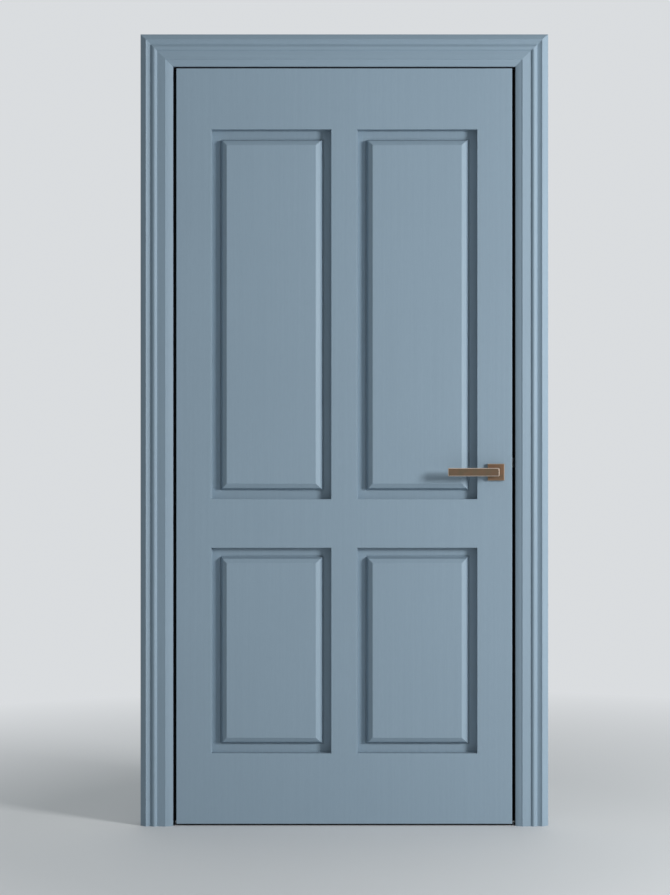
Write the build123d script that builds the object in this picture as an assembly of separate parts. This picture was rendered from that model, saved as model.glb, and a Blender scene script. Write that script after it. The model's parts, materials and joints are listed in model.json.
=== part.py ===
from build123d import *
import os
from math import cos, radians, sin

# Panelled door leaf hung in its timber frame, with mitred casings on the near side.
# Frame of reference: X to the right, Y away from the viewer, Z up, in millimetres.
# Origin: floor level, middle of the opening, middle of the leaf's thickness.
# The leaf is rebated: its near part stands in the frame's opening, and a lip at the far
# side laps over the frame's stop. It hangs on three butt hinges at the left and swings away.

# Leaf
LEAF_WIDTH = 907.0
LEAF_HEIGHT = 2040.0
LEAF_THICKNESS = 68.0
LIP_THICKNESS = 26.0
LIP_OVERLAP = 18.0
STILE_WIDTH = 94.2
MULLION_WIDTH = 70.0
TOP_RAIL_HEIGHT = 165.0
LOCK_RAIL_HEIGHT = 131.5
BOTTOM_RAIL_HEIGHT = 190.0
LOWER_PANEL_HEIGHT = 555.0
TENON_THICKNESS = 20.0
TENON_LENGTH = 40.0
TENON_SHOULDER = 18.0
ARRIS_RADIUS = 1.5

# Raised panels
RECESS_DEPTH = 25.0
MARGIN_WIDTH = 24.5
SHOULDER_WIDTH = 5.5
SHOULDER_HEIGHT = 15.5
BEVEL_WIDTH = 12.0
BEVEL_RISE = 8.0
QUIRK_WIDTH = 3.0
QUIRK_DEPTH = 2.0
GROOVE_DEPTH = 12.0
PANEL_PLAY = 1.0

# Gaps round the leaf, and working clearances
SIDE_GAP = 9.0
HEAD_GAP = 4.5
FLOOR_GAP = 6.0
LIP_EDGE_GAP = 4.0
LIP_FACE_GAP = 4.0
JOINT_GAP = 0.2
SEAL_GAP = 0.3
RUNNING_GAP = 0.3

# How far a cut runs past the face that it opens
CUT_PAST = 1.0

# Frame members and casing
JAMB_WIDTH = 58.0
CASING_EDGE = 12.0
CASING_SLOPE_WIDTH = 17.5
CASING_SLOPE_RISE = 6.5
CASING_SLOPE_SWELL = 0.6
CASING_STEP_WIDTH = 1.0
CASING_STEP_RISE = 1.5
CASING_FLAT_WIDTH = 23.5
CASING_FLAT_FALL = 4.5
CASING_BEAD_RISE_WIDTH = 7.0
CASING_BEAD_RISE = 5.0
CASING_BEAD_RISE_SWELL = 0.9
CASING_BEAD_FALL_WIDTH = 10.0
CASING_BEAD_FALL = 7.0
CASING_BEAD_FALL_SWELL = 1.6
CASING_COVE_WIDTH = 13.0
CASING_COVE_RISE = 5.0
CASING_COVE_HOLLOW = 0.7
CASING_OUTER_WIDTH = 16.5
CASING_OUTER_FALL = 12.5
CASING_OUTER_SWELL = 0.5

# Seals
FRONT_SEAL_THICKNESS = 3.0
FRONT_SEAL_SETBACK = 6.0
SEAL_BARB_THICKNESS = 2.4
SEAL_BARB_DEPTH = 5.0
LIP_SEAL_WIDTH = 20.0
LIP_SEAL_EDGE_HEIGHT = 2.6
LIP_SEAL_EDGE_WIDTH = 2.5
LIP_SEAL_TAPER_WIDTH = 5.0
BOTTOM_SEAL_WIDTH = 10.0
BOTTOM_SEAL_DEPTH = 8.0
BOTTOM_SEAL_SETBACK = 10.0
BOTTOM_SEAL_FLOOR_GAP = 1.5

# Wall fixings through the jambs
FIXING_RADIUS = 5.25
FIXING_FLOOR_DISTANCE = 400.0
FIXING_HEAD_DISTANCE = 150.0
FIXING_COUNT = 3

# Butt hinges
HINGE_HEIGHT = 100.0
HINGE_END_DISTANCE = 230.0
HINGE_PLATE_THICKNESS = 2.5
HINGE_PLATE_DEPTH = 24.0
KNUCKLE_RADIUS = 6.5
KNUCKLE_COUNT = 3
KNUCKLE_STANDOFF = 0.5
KNUCKLE_GAP = 0.3
PIN_RADIUS = 3.5
PIN_PLAY = 0.06
PIN_HEAD_HEIGHT = 4.0
PIN_HEAD_RADIUS = 5.5

# Lock
BACKSET = 43.5
HANDLE_HEIGHT = 949.5
LOCK_SETBACK = 25.0
FACEPLATE_THICKNESS = 3.0
FACEPLATE_WIDTH = 20.0
FACEPLATE_HEIGHT = 170.0
FACEPLATE_CORNER_RADIUS = 6.0
CASE_DEPTH = 70.0
CASE_THICKNESS = 15.0
CASE_BELOW_AXIS = 40.0
CASE_ABOVE_AXIS = 56.0
CASE_WALL = 1.2
MORTISE_PLAY = 0.5
LATCH_ENGAGEMENT = 9.0
LATCH_HEIGHT = 26.0
LATCH_THICKNESS = 11.4
LATCH_NOSE_FLAT = 3.0
LATCH_SHOULDER = 1.0
LATCH_PLAY = 0.3
LATCH_BACK_GAP = 5.0
LATCH_TAIL_HEIGHT = 6.0
LATCH_TAIL_THICKNESS = 5.0
LATCH_TAIL_RISE = 5.0
LATCH_TAIL_GAP = 1.5
LATCH_LUG_THICKNESS = 5.0
PLATE_SCREW_HOLE_RADIUS = 2.2
PLATE_SCREW_INSET = 12.0
HANDLE_TURN = 45.0
HUB_RADIUS = 8.0
HUB_PLAY = 0.1
ARM_WIDTH = 4.4
ARM_TIP_RADIUS = 3.0
SPRING_THICKNESS = 0.8
SPRING_WIDTH = 5.0
SPRING_LEG_HEIGHT = 14.0

# Strike plate
STRIKE_THICKNESS = 2.0
STRIKE_HEIGHT = 110.0
STRIKE_FRONT_MARGIN = 4.0
STRIKE_RETURN = 16.0
STRIKE_PLAY = 1.0
STRIKE_POCKET_END_GAP = 3.0
STRIKE_CORNER_RADIUS = 1.8

# Levers, spindle and roses
SPINDLE_SIZE = 8.0
SPINDLE_PLAY = 0.06
SPINDLE_INSERTION = 24.0
SPINDLE_END_GAP = 1.0
SPINDLE_HOLE_RADIUS = 10.0
LEVER_REACH = 129.0
LEVER_HEEL = 8.5
LEVER_HEIGHT = 22.0
LEVER_THICKNESS = 9.0
LEVER_STANDOFF = 52.0
LEVER_CHAMFER = 1.6
NECK_WIDTH = 30.0
NECK_HEIGHT = 20.0
NECK_CHAMFER = 1.0
NECK_GAP = 0.6
JOURNAL_RADIUS = 8.0
ROSE_SIZE = 45.0
ROSE_THICKNESS = 10.0
ROSE_WALL = 1.5
ROSE_CHAMFER = 1.5
ROSE_BASE_THICKNESS = 4.0
COLLAR_WALL = 2.5
JOURNAL_PLAY = 0.06
GRUB_HOLE_RADIUS = 2.5

# Planes and edges worked out from the sizes above
leaf_half = LEAF_WIDTH / 2
near_face = -LEAF_THICKNESS / 2
far_face = LEAF_THICKNESS / 2
lip_face = far_face - LIP_THICKNESS
stop_face = lip_face - LIP_FACE_GAP
wall_face = near_face + CASING_EDGE
opening_x = leaf_half + SIDE_GAP
lip_x = opening_x + LIP_OVERLAP
rebate_x = lip_x + LIP_EDGE_GAP
frame_x = opening_x + JAMB_WIDTH
leaf_bottom = FLOOR_GAP
leaf_top = leaf_bottom + LEAF_HEIGHT
opening_z = leaf_top + HEAD_GAP
lip_z = opening_z + LIP_OVERLAP
rebate_z = lip_z + LIP_EDGE_GAP
frame_z = opening_z + JAMB_WIDTH

stile_x = leaf_half - STILE_WIDTH
mullion_x = MULLION_WIDTH / 2
bottom_rail_top = leaf_bottom + BOTTOM_RAIL_HEIGHT
lock_rail_bottom = bottom_rail_top + LOWER_PANEL_HEIGHT
lock_rail_top = lock_rail_bottom + LOCK_RAIL_HEIGHT
top_rail_bottom = leaf_top - TOP_RAIL_HEIGHT
core_half = LEAF_THICKNESS / 2 - RECESS_DEPTH

hinge_x = -(lip_x + rebate_x) / 2
hinge_y = far_face + KNUCKLE_RADIUS + KNUCKLE_STANDOFF
hinge_heights = [leaf_bottom + HINGE_END_DISTANCE, (leaf_bottom + leaf_top) / 2,
                 leaf_top - HINGE_END_DISTANCE]

handle_x = leaf_half - BACKSET
handle_z = leaf_bottom + HANDLE_HEIGHT
lock_y = near_face + LOCK_SETBACK
case_front = leaf_half - FACEPLATE_THICKNESS
case_back = case_front - CASE_DEPTH
case_bottom = handle_z - CASE_BELOW_AXIS
case_top = handle_z + CASE_ABOVE_AXIS
faceplate_z = (case_bottom + case_top) / 2
latch_throw = SIDE_GAP + LATCH_ENGAGEMENT
arm_radius = latch_throw / (2 * sin(radians(HANDLE_TURN / 2)))
tail_bottom = handle_z + arm_radius + ARM_TIP_RADIUS + LATCH_TAIL_GAP
latch_z = tail_bottom + LATCH_TAIL_HEIGHT / 2 - LATCH_TAIL_RISE
latch_back = handle_x + latch_throw / 2 + ARM_TIP_RADIUS + LATCH_BACK_GAP
lug_face = handle_x + latch_throw / 2 - ARM_TIP_RADIUS - LATCH_PLAY


def block(x0, x1, y0, y1, z0, z1):
    """Box between two corners."""
    centre = Pos((x0 + x1) / 2, (y0 + y1) / 2, (z0 + z1) / 2)
    return centre * Box(x1 - x0, y1 - y0, z1 - z0)


def across(shape):
    """The same piece on the other side of the opening."""
    return mirror(shape, about=Plane.YZ)


def behind(shape):
    """The same piece on the far side of the leaf."""
    return mirror(shape, about=Plane.XZ)


def edges_at(shape, axis, **place):
    """Edges along an axis whose centres lie at the given x, y or z."""
    found = shape.edges().filter_by(axis)
    for name, value in place.items():
        found = found.filter_by(lambda e, n=name, v=value: abs(getattr(e.center(), n) - v) < 0.01)
    return found


def rod(x, y, z, axis, start, end, radius):
    """Round bar along X, Y or Z, between two places on that axis."""
    length = end - start
    middle = (start + end) / 2
    bar = Cylinder(radius, length)
    if axis == "x":
        return Pos(middle, y, z) * Rot(0, 90, 0) * bar
    if axis == "y":
        return Pos(x, middle, z) * Rot(90, 0, 0) * bar
    return Pos(x, y, middle) * bar


# Casing


def casing_profile():
    """Moulded section: X runs outward from the opening, Y stands off the wall."""
    slope = CASING_EDGE + CASING_SLOPE_RISE
    step = slope + CASING_STEP_RISE
    flat = step - CASING_FLAT_FALL
    bead = flat + CASING_BEAD_RISE
    quirk = bead - CASING_BEAD_FALL
    crest = quirk + CASING_COVE_RISE
    x1 = CASING_SLOPE_WIDTH
    x2 = x1 + CASING_STEP_WIDTH
    x3 = x2 + CASING_FLAT_WIDTH
    x4 = x3 + CASING_BEAD_RISE_WIDTH
    x5 = x4 + CASING_BEAD_FALL_WIDTH
    x6 = x5 + CASING_COVE_WIDTH
    x7 = x6 + CASING_OUTER_WIDTH
    outer = crest - CASING_OUTER_FALL
    outline = [
        Line((0, 0), (0, CASING_EDGE)),
        swell((0, CASING_EDGE), (x1, slope), CASING_SLOPE_SWELL),
        Line((x1, slope), (x2, step)),
        Line((x2, step), (x3, flat)),
        swell((x3, flat), (x4, bead), CASING_BEAD_RISE_SWELL),
        swell((x4, bead), (x5, quirk), CASING_BEAD_FALL_SWELL),
        swell((x5, quirk), (x6, crest), -CASING_COVE_HOLLOW),
        swell((x6, crest), (x7, outer), CASING_OUTER_SWELL),
        Line((x7, outer), (x7, 0)),
        Line((x7, 0), (0, 0)),
    ]
    return make_face(Curve() + outline)


def swell(start, end, height):
    """Arc from start to end that bulges by the given height, or hollows if it is negative."""
    a = Vector(*start)
    b = Vector(*end)
    chord = (b - a).normalized()
    middle = (a + b) * 0.5 + Vector(-chord.Y, chord.X) * height
    return ThreePointArc(a, middle, b)


casing_width = (CASING_SLOPE_WIDTH + CASING_STEP_WIDTH + CASING_FLAT_WIDTH + CASING_BEAD_RISE_WIDTH
                + CASING_BEAD_FALL_WIDTH + CASING_COVE_WIDTH + CASING_OUTER_WIDTH)
mitre_reach = casing_width + CUT_PAST


def mitre_side(far_corner):
    """Space on one side of the left mitre, which runs outward at 45 degrees to the reach."""
    corner = (-opening_x, opening_z)
    tip = (-opening_x - mitre_reach, opening_z + mitre_reach)
    face = Plane.XZ * make_face(Polyline(corner, tip, far_corner, close=True))
    return extrude(face, amount=LEAF_THICKNESS, both=True)


def above_mitre():
    return mitre_side((-opening_x, opening_z + mitre_reach))


def outside_mitre():
    return mitre_side((-opening_x - mitre_reach, opening_z))


def side_casing():
    place = Plane(origin=(-opening_x, wall_face, 0), x_dir=(-1, 0, 0), z_dir=(0, 0, 1))
    length = opening_z + casing_width
    return extrude(place * casing_profile(), amount=length) - above_mitre()


def head_casing():
    reach = opening_x + casing_width
    place = Plane(origin=(-reach, wall_face, opening_z), x_dir=(0, 0, 1), z_dir=(1, 0, 0))
    board = extrude(place * casing_profile(), amount=2 * reach)
    left = outside_mitre()
    return board - left - across(left)


# Frame


def fixing_heights():
    top = opening_z - FIXING_HEAD_DISTANCE
    spacing = (top - FIXING_FLOOR_DISTANCE) / (FIXING_COUNT - 1)
    return [FIXING_FLOOR_DISTANCE + k * spacing for k in range(FIXING_COUNT)]


def jamb():
    """Left jamb: a stop at the near side and a rebate that takes the leaf's lip."""
    post = block(-frame_x, -opening_x, wall_face, far_face, 0, frame_z)
    post -= block(-rebate_x, -opening_x, stop_face, far_face, 0, frame_z)
    post -= block(-opening_x - SEAL_BARB_DEPTH - JOINT_GAP, -opening_x, wall_face,
                  wall_face + SEAL_BARB_THICKNESS + JOINT_GAP, 0, opening_z)
    fixing_y = (stop_face + far_face) / 2
    for z in fixing_heights():
        post -= rod(0, fixing_y, z, "x", -frame_x - CUT_PAST, -rebate_x + CUT_PAST, FIXING_RADIUS)
    return post


def hinge_jamb():
    post = jamb()
    for z in hinge_heights:
        post -= frame_plate(z, JOINT_GAP)
    return post


def lock_jamb():
    post = across(jamb())
    post -= strike_blank(JOINT_GAP)
    end = opening_x + LATCH_ENGAGEMENT + STRIKE_POCKET_END_GAP
    return post - latch_window(opening_x - CUT_PAST, end)


def frame_head():
    """Head of the frame, notched over the jambs' stops."""
    rail = block(-opening_x, opening_x, wall_face, stop_face, opening_z, frame_z)
    rail += block(-rebate_x, rebate_x, stop_face, far_face, rebate_z, frame_z)
    return rail - block(-opening_x, opening_x, wall_face,
                        wall_face + SEAL_BARB_THICKNESS + JOINT_GAP,
                        opening_z, opening_z + SEAL_BARB_DEPTH + JOINT_GAP)


# Seals


def side_front_seal():
    """Left seal in the gap: a flat face on the stop and a barb behind the casing."""
    face = block(-opening_x, -opening_x + FRONT_SEAL_THICKNESS,
                 near_face + FRONT_SEAL_SETBACK, wall_face + SEAL_BARB_THICKNESS,
                 0, opening_z)
    barb = block(-opening_x - SEAL_BARB_DEPTH, -opening_x, wall_face + JOINT_GAP / 2,
                 wall_face + SEAL_BARB_THICKNESS, 0, opening_z)
    return face + barb


def head_front_seal():
    end = opening_x - FRONT_SEAL_THICKNESS
    face = block(-end, end, near_face + FRONT_SEAL_SETBACK, wall_face + SEAL_BARB_THICKNESS,
                 opening_z - FRONT_SEAL_THICKNESS, opening_z)
    barb = block(-end, end, wall_face + JOINT_GAP / 2, wall_face + SEAL_BARB_THICKNESS,
                 opening_z, opening_z + SEAL_BARB_DEPTH)
    return face + barb


def lip_seal_section():
    """Section of the lip's seal: X runs outward from the leaf's edge, Y toward the stop."""
    height = LIP_FACE_GAP - SEAL_GAP
    start = JOINT_GAP
    end = start + LIP_SEAL_WIDTH
    middle = (start + end) / 2
    half = SEAL_BARB_THICKNESS / 2
    outline = Polyline((start, 0), (start, LIP_SEAL_EDGE_HEIGHT),
                       (start + LIP_SEAL_EDGE_WIDTH, height),
                       (end - LIP_SEAL_TAPER_WIDTH, height), (end, 0), (middle + half, 0),
                       (middle + half, -SEAL_BARB_DEPTH), (middle - half, -SEAL_BARB_DEPTH),
                       (middle - half, 0), close=True)
    return make_face(outline)


def lip_seal_groove():
    """Section of the slot that takes the barb."""
    middle = JOINT_GAP + LIP_SEAL_WIDTH / 2
    width = SEAL_BARB_THICKNESS + JOINT_GAP
    depth = SEAL_BARB_DEPTH + JOINT_GAP
    return Pos(middle, -depth / 2) * Rectangle(width, depth)


def along_side_lip(section, end):
    """Run a section up the left edge of the leaf, on the lip's near face."""
    place = Plane(origin=(-leaf_half, lip_face, leaf_bottom), x_dir=(-1, 0, 0), z_dir=(0, 0, 1))
    return extrude(place * section, amount=end - leaf_bottom)


def along_top_lip(section, end):
    """Run a section across the top of the leaf, on the lip's near face."""
    place = Plane(origin=(-end, lip_face, leaf_top), x_dir=(0, 0, 1), z_dir=(1, 0, 0))
    return extrude(place * section, amount=2 * end)


def side_lip_seal():
    return along_side_lip(lip_seal_section(), leaf_top)


def top_lip_seal():
    return along_top_lip(lip_seal_section(), leaf_half + JOINT_GAP + LIP_SEAL_WIDTH)


def bottom_seal():
    """Sweep seal pressed into the underside of the leaf."""
    y0 = near_face + BOTTOM_SEAL_SETBACK
    return block(-leaf_half, leaf_half, y0, y0 + BOTTOM_SEAL_WIDTH, BOTTOM_SEAL_FLOOR_GAP,
                 leaf_bottom + BOTTOM_SEAL_DEPTH)


def bottom_seal_slot():
    y0 = near_face + BOTTOM_SEAL_SETBACK
    return block(-leaf_half, leaf_half, y0 - JOINT_GAP, y0 + BOTTOM_SEAL_WIDTH + JOINT_GAP,
                 leaf_bottom - CUT_PAST, leaf_bottom + BOTTOM_SEAL_DEPTH + JOINT_GAP)


# Leaf joinery


def panel_openings():
    """Name of each panel with its opening: left, right, bottom, top."""
    lower = (bottom_rail_top, lock_rail_bottom)
    upper = (lock_rail_top, top_rail_bottom)
    left = (-stile_x, -mullion_x)
    right = (mullion_x, stile_x)
    return {
        "panel_upper_left": left + upper,
        "panel_upper_right": right + upper,
        "panel_lower_left": left + lower,
        "panel_lower_right": right + lower,
    }


def panel_grooves():
    """Space that the panels' edges take in the members round them."""
    grooves = []
    for x0, x1, z0, z1 in panel_openings().values():
        reach = GROOVE_DEPTH
        grooves.append(block(x0 - reach, x1 + reach, -core_half - JOINT_GAP,
                             core_half + JOINT_GAP, z0 - reach, z1 + reach))
    return grooves


def rail_tenons(z0, z1, end_margin, play=0.0):
    """Tenons at both ends of a rail, set in from its edges."""
    half = TENON_THICKNESS / 2 + play
    bottom = z0 + TENON_SHOULDER - play
    top = z1 - end_margin + play
    right = block(stile_x, stile_x + TENON_LENGTH + play, -half, half, bottom, top)
    return [right, across(right)]


def rail_spans():
    """Each rail's bottom, top and the margin above its tenons."""
    return {
        "bottom_rail": (leaf_bottom, bottom_rail_top, GROOVE_DEPTH + TENON_SHOULDER),
        "lock_rail": (lock_rail_bottom, lock_rail_top, TENON_SHOULDER),
        "top_rail": (top_rail_bottom, leaf_top, TENON_SHOULDER * 2),
    }


def mullion_spans():
    return {
        "mullion_lower": (bottom_rail_top, lock_rail_bottom),
        "mullion_upper": (lock_rail_top, top_rail_bottom),
    }


def mullion_tenons(z0, z1, play=0.0):
    half = TENON_THICKNESS / 2 + play
    width = mullion_x - TENON_SHOULDER + play
    reach = TENON_LENGTH + play
    low = block(-width, width, -half, half, z0 - reach, z0)
    high = block(-width, width, -half, half, z1, z1 + reach)
    return [low, high]


def eased(member, **place):
    """Round the near arris that lies on the leaf's outer edge."""
    axis = Axis.Z if "X" in place else Axis.X
    return fillet(edges_at(member, axis, Y=near_face, **place), ARRIS_RADIUS)


def stile():
    """Left stile with its lip, grooves and mortises."""
    post = block(-lip_x, -stile_x, near_face, far_face, leaf_bottom, lip_z)
    post -= block(-lip_x, -leaf_half, near_face, lip_face, leaf_bottom, lip_z)
    post -= block(-lip_x, -stile_x, near_face, lip_face, leaf_top, lip_z)
    post = eased(post, X=-leaf_half)
    post = eased(post, Z=leaf_top)
    for groove in panel_grooves():
        post -= groove
    for z0, z1, margin in rail_spans().values():
        for mortise in rail_tenons(z0, z1, margin, JOINT_GAP):
            post -= mortise
    post -= along_side_lip(lip_seal_groove(), leaf_top)
    post -= along_top_lip(lip_seal_groove(), leaf_half + JOINT_GAP + LIP_SEAL_WIDTH)
    post -= bottom_seal_slot()
    return post


def hinge_stile():
    post = stile()
    for z in hinge_heights:
        post -= leaf_plate(z, JOINT_GAP)
    return post


def lock_stile():
    return across(stile()) - faceplate_blank(JOINT_GAP) - lock_mortise()


def lock_mortise():
    """Mortise for the lock case, and the hole for the spindle that crosses it."""
    half = CASE_THICKNESS / 2 + MORTISE_PLAY
    mortise = block(case_back - MORTISE_PLAY, leaf_half + CUT_PAST, lock_y - half, lock_y + half,
                    case_bottom - MORTISE_PLAY, case_top + MORTISE_PLAY)
    start = near_face - CUT_PAST
    end = far_face + CUT_PAST
    return mortise + rod(handle_x, 0, handle_z, "y", start, end, SPINDLE_HOLE_RADIUS)


def rail(name):
    """Rail between the stiles, grooved for the panels and mortised for the mullions."""
    z0, z1, margin = rail_spans()[name]
    bar = block(-stile_x, stile_x, near_face, far_face, z0, z1)
    if name == "top_rail":
        bar += block(-stile_x, stile_x, lip_face, far_face, z1, lip_z)
        bar = eased(bar, Z=leaf_top)
        bar -= along_top_lip(lip_seal_groove(), leaf_half)
    if name == "bottom_rail":
        bar -= bottom_seal_slot()
    for groove in panel_grooves():
        bar -= groove
    for m0, m1 in mullion_spans().values():
        for mortise in mullion_tenons(m0, m1, JOINT_GAP):
            bar -= mortise
    for tenon in rail_tenons(z0, z1, margin):
        bar += tenon
    return bar - lock_mortise()


def mullion(name):
    """Middle upright between two rails, grooved on both sides."""
    z0, z1 = mullion_spans()[name]
    post = block(-mullion_x, mullion_x, near_face, far_face, z0, z1)
    for groove in panel_grooves():
        post -= groove
    for tenon in mullion_tenons(z0, z1):
        post += tenon
    return post


def raised_field(x0, x1, z0, z1):
    """Near side of a panel: a steep shoulder and a bevel up to the flat field."""
    foot = Plane(origin=((x0 + x1) / 2, -core_half, (z0 + z1) / 2), x_dir=(1, 0, 0), z_dir=(0, -1, 0))
    inset = MARGIN_WIDTH
    rise = 0.0
    outlines = []
    for width, height in ((0.0, 0.0), (SHOULDER_WIDTH, SHOULDER_HEIGHT), (BEVEL_WIDTH, BEVEL_RISE)):
        inset += width
        rise += height
        outlines.append(foot.offset(rise) * Rectangle(x1 - x0 - 2 * inset, z1 - z0 - 2 * inset))
    return loft(outlines[:2]) + loft(outlines[1:])


def quirk(x0, x1, z0, z1):
    """Shallow groove round the foot of the field."""
    inset = MARGIN_WIDTH
    outer = inset - QUIRK_WIDTH
    ring = block(x0 + outer, x1 - outer, -core_half, -core_half + QUIRK_DEPTH, z0 + outer, z1 - outer)
    return ring - block(x0 + inset, x1 - inset, -core_half, -core_half + QUIRK_DEPTH,
                        z0 + inset, z1 - inset)


def panel(x0, x1, z0, z1):
    """Panel with its edges in the grooves and the same raised field on both faces."""
    reach = GROOVE_DEPTH - PANEL_PLAY
    core = block(x0 - reach, x1 + reach, -core_half, core_half, z0 - reach, z1 + reach)
    field = raised_field(x0, x1, z0, z1)
    groove = quirk(x0, x1, z0, z1)
    return core + field + behind(field) - groove - behind(groove)


# Hinges


def frame_plate(z, play=0.0):
    """Plate let into the frame's rebate. With play, the recess for it."""
    half = HINGE_HEIGHT / 2 + play
    return block(-rebate_x - HINGE_PLATE_THICKNESS - play, -rebate_x,
                 far_face - HINGE_PLATE_DEPTH - play, far_face + play, z - half, z + half)


def leaf_plate(z, play=0.0):
    """Plate let into the edge of the lip. With play, the recess for it."""
    half = HINGE_HEIGHT / 2 + play
    return block(-lip_x, -lip_x + HINGE_PLATE_THICKNESS + play,
                 far_face - HINGE_PLATE_DEPTH - play, far_face + play, z - half, z + half)


def knuckles(z, first, web_start):
    """Every other knuckle from the first, each with the web that ties it to its plate."""
    pitch = HINGE_HEIGHT / KNUCKLE_COUNT
    bottom = z - HINGE_HEIGHT / 2
    pieces = []
    for k in range(first, KNUCKLE_COUNT, 2):
        z0 = bottom + k * pitch + KNUCKLE_GAP / 2
        z1 = bottom + (k + 1) * pitch - KNUCKLE_GAP / 2
        barrel = rod(hinge_x, hinge_y, 0, "z", z0, z1, KNUCKLE_RADIUS)
        web = block(web_start, web_start + HINGE_PLATE_THICKNESS, far_face - CUT_PAST, hinge_y, z0, z1)
        pieces.append(barrel + web)
    return pieces


def pin_bore(z):
    return rod(hinge_x, hinge_y, 0, "z", z - HINGE_HEIGHT, z + HINGE_HEIGHT, PIN_RADIUS + PIN_PLAY)


def hinge_half(z, plate, first, web_start):
    half = plate
    for knuckle in knuckles(z, first, web_start):
        half += knuckle
    return half - pin_bore(z)


def frame_hinge(z):
    return hinge_half(z, frame_plate(z), 0, -rebate_x - HINGE_PLATE_THICKNESS)


def leaf_hinge(z):
    return hinge_half(z, leaf_plate(z), 1, -lip_x)


def hinge_pin(z):
    """Pin with a button head above the top knuckle."""
    top = z + HINGE_HEIGHT / 2
    shank = rod(hinge_x, hinge_y, 0, "z", z - HINGE_HEIGHT / 2, top, PIN_RADIUS)
    return shank + rod(hinge_x, hinge_y, 0, "z", top, top + PIN_HEAD_HEIGHT, PIN_HEAD_RADIUS)


# Lock


def faceplate_blank(play=0.0):
    half = FACEPLATE_WIDTH / 2 + play
    reach = FACEPLATE_HEIGHT / 2 + play
    return block(leaf_half - FACEPLATE_THICKNESS, leaf_half, lock_y - half, lock_y + half,
                 faceplate_z - reach, faceplate_z + reach)


def latch_window(x0, x1, play=STRIKE_PLAY):
    """Opening that the latch bolt passes through."""
    half = LATCH_THICKNESS / 2 + play
    reach = LATCH_HEIGHT / 2 + play
    return block(x0, x1, lock_y - half, lock_y + half, latch_z - reach, latch_z + reach)


def faceplate():
    plate = faceplate_blank()
    corners = plate.edges().filter_by(Axis.X)
    plate = fillet(corners, FACEPLATE_CORNER_RADIUS)
    plate -= latch_window(case_front - CUT_PAST, leaf_half + CUT_PAST, LATCH_PLAY)
    return plate - plate_screw_holes(case_front, leaf_half, faceplate_z, FACEPLATE_HEIGHT)


def plate_screw_holes(x0, x1, middle_z, height):
    """Screw hole near each end of a plate in the door's edge or in the jamb."""
    offset = height / 2 - PLATE_SCREW_INSET
    holes = [rod(0, lock_y, middle_z + s * offset, "x", x0 - CUT_PAST, x1 + CUT_PAST,
                 PLATE_SCREW_HOLE_RADIUS) for s in (-1, 1)]
    return holes[0] + holes[1]


def lock_case():
    """Steel tray, open toward the faceplate and toward its cover."""
    half = CASE_THICKNESS / 2
    tray = block(case_back, case_front, lock_y - half, lock_y + half - CASE_WALL,
                 case_bottom, case_top)
    tray -= block(case_back + CASE_WALL, case_front + CUT_PAST, lock_y - half + CASE_WALL, lock_y + half,
                  case_bottom + CASE_WALL, case_top - CASE_WALL)
    return tray - hub_hole()


def lock_cover():
    half = CASE_THICKNESS / 2
    plate = block(case_back, case_front, lock_y + half - CASE_WALL, lock_y + half,
                  case_bottom, case_top)
    return plate - hub_hole()


def hub_hole():
    """Hole through both walls of the case for the follower's hub."""
    return rod(handle_x, 0, handle_z, "y", lock_y - CASE_THICKNESS, lock_y + CASE_THICKNESS,
               HUB_RADIUS + HUB_PLAY)


def follower():
    """Hub turned by the spindle, with the arm that draws the latch bolt."""
    start = lock_y - CASE_THICKNESS / 2
    end = lock_y + CASE_THICKNESS / 2
    hub = rod(handle_x, 0, handle_z, "y", start, end, HUB_RADIUS) + follower_arm()
    return hub - square_block(SPINDLE_SIZE / 2 + SPINDLE_PLAY, start - CUT_PAST, end + CUT_PAST)


def follower_arm():
    """Arm that leans toward the latch by half of the handle's turn."""
    half = LATCH_TAIL_THICKNESS / 2
    lean = Rot(0, HANDLE_TURN / 2, 0)
    bar = block(-ARM_WIDTH / 2, ARM_WIDTH / 2, -half, half, 0, arm_radius)
    tip = rod(0, 0, arm_radius, "y", -half, half, ARM_TIP_RADIUS)
    return Pos(handle_x, lock_y, handle_z) * lean * (bar + tip)


def latch_bolt():
    """Bolt with a sloped nose toward the stop, and a tail that hooks over the arm."""
    half = LATCH_THICKNESS / 2
    nose = leaf_half + latch_throw
    head = block(latch_back, nose, lock_y - half, lock_y + half,
                 latch_z - LATCH_HEIGHT / 2, latch_z + LATCH_HEIGHT / 2)
    slope = make_face(Polyline((leaf_half + LATCH_SHOULDER, lock_y - half),
                               (nose, lock_y + half - LATCH_NOSE_FLAT),
                               (nose, lock_y - half), close=True))
    head -= extrude(Plane.XY.offset(latch_z - LATCH_HEIGHT) * slope, amount=2 * LATCH_HEIGHT)
    tail_half = LATCH_TAIL_THICKNESS / 2
    lug_back = lug_face - LATCH_LUG_THICKNESS
    tail = block(lug_back, latch_back, lock_y - tail_half, lock_y + tail_half,
                 tail_bottom, tail_bottom + LATCH_TAIL_HEIGHT)
    lug_bottom = handle_z + arm_radius * cos(radians(HANDLE_TURN / 2)) - ARM_TIP_RADIUS / 2
    lug = block(lug_back, lug_face, lock_y - tail_half, lock_y + tail_half, lug_bottom, tail_bottom)
    return head + tail + lug


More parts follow.
